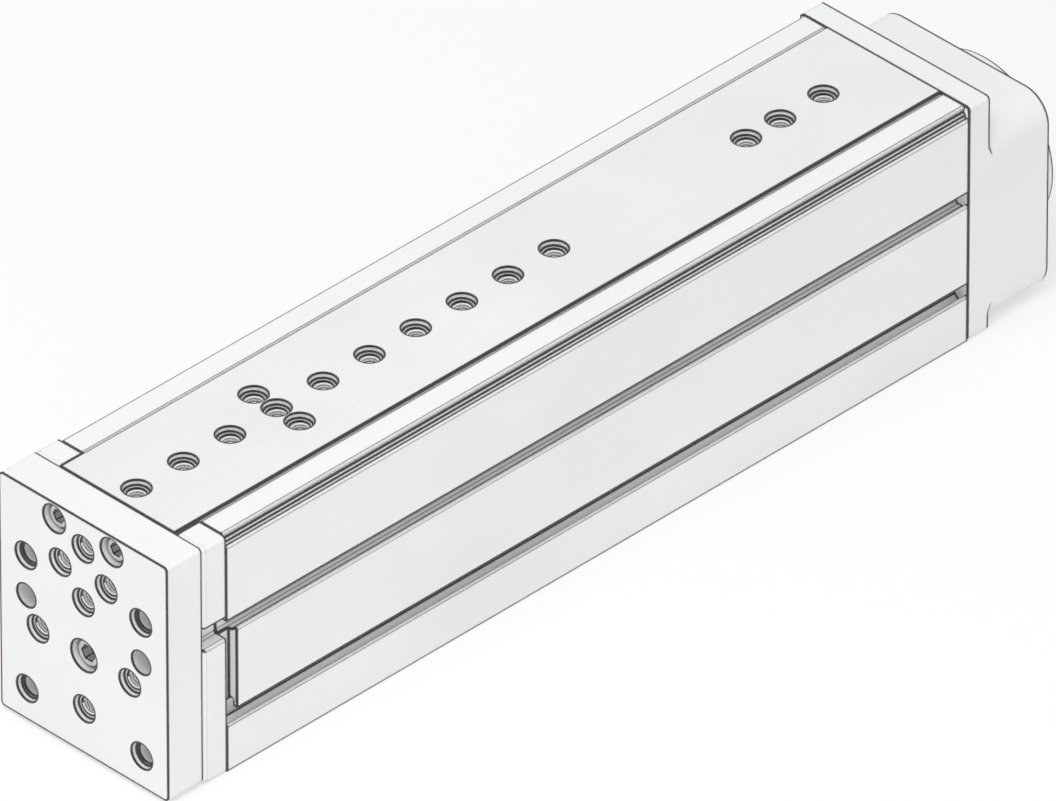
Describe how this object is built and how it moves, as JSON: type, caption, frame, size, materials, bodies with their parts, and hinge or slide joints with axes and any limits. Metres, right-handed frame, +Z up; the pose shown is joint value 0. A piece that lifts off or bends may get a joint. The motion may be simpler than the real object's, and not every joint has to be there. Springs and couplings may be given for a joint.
{
  "type": "miniature linear slide",
  "caption": "Ball screw mini slide with a yoke plate on a push rod, a ground slide in a slotted extrusion and a rear drive journal.",
  "frame": {"origin": "in the mounting face, below the middle of the overall length", "axes": "+X from the yoke plate towards the drive journal, +Y to the left seen from behind the yoke plate, +Z up from the mounting face"},
  "size_m": [0.411, 0.0736, 0.0891],
  "materials": {
    "anodised": "fine satin natural anodising",
    "cast": "machined and anodised casting",
    "ground_steel": "ground and hardened steel",
    "bright_steel": "polished steel",
    "screw_steel": "zinc plated steel",
    "dark_steel": "blackened steel",
    "rubber": "matt rubber",
    "plastic": "moulded plastic",
    "bronze": "sintered bronze"
  },
  "bodies": {
    "base": {"housing": "anodised", "cover_strip_left": "anodised", "cover_strip_right": "anodised", "front_cover": "anodised", "front_cover_screws": "screw_steel", "rod_wiper": "rubber", "rod_guide_bush": "bronze", "front_buffer": "rubber", "rear_buffer": "rubber", "rear_bearing_housing": "cast", "rear_housing_screws": "screw_steel", "bearing_outer_rings": "bright_steel", "bearing_balls": "bright_steel", "bearing_clamp_ring": "dark_steel", "shaft_seal": "rubber", "cassette_left": "ground_steel", "cassette_right": "ground_steel", "cassette_ends_left": "plastic", "cassette_ends_right": "plastic", "guide_balls_left": "bright_steel", "guide_balls_right": "bright_steel", "guide_stops": "ground_steel", "guide_stop_screws": "screw_steel"},
    "carriage": {"slide": "ground_steel", "yoke_plate": "anodised", "yoke_slide_screws": "screw_steel", "yoke_rod_screw": "screw_steel", "rod_end": "ground_steel", "push_rod": "bright_steel", "nut_carrier": "anodised", "guide_band": "plastic", "magnet_ring": "dark_steel", "spindle_nut": "ground_steel", "nut_wiper": "plastic", "nut_screws": "screw_steel"},
    "screw_shaft": {"spindle": "bright_steel", "bearing_inner_rings": "bright_steel", "lock_nut": "dark_steel"}
  },
  "joints": [
    {"name": "slide_travel", "type": "slide", "parent": "base", "child": "carriage", "axis": [-1, 0, 0], "range_m": [0, 0.2]},
    {"name": "spindle_turn", "type": "hinge", "parent": "base", "child": "screw_shaft", "pos_m": [0.1781, 0, 0.0378], "axis": [1, 0, 0], "range_deg": [0, 3600]}
  ],
  "couplings": [
    {"joint": "spindle_turn", "follows": "slide_travel", "rad_per_m": 314.16}
  ]
}
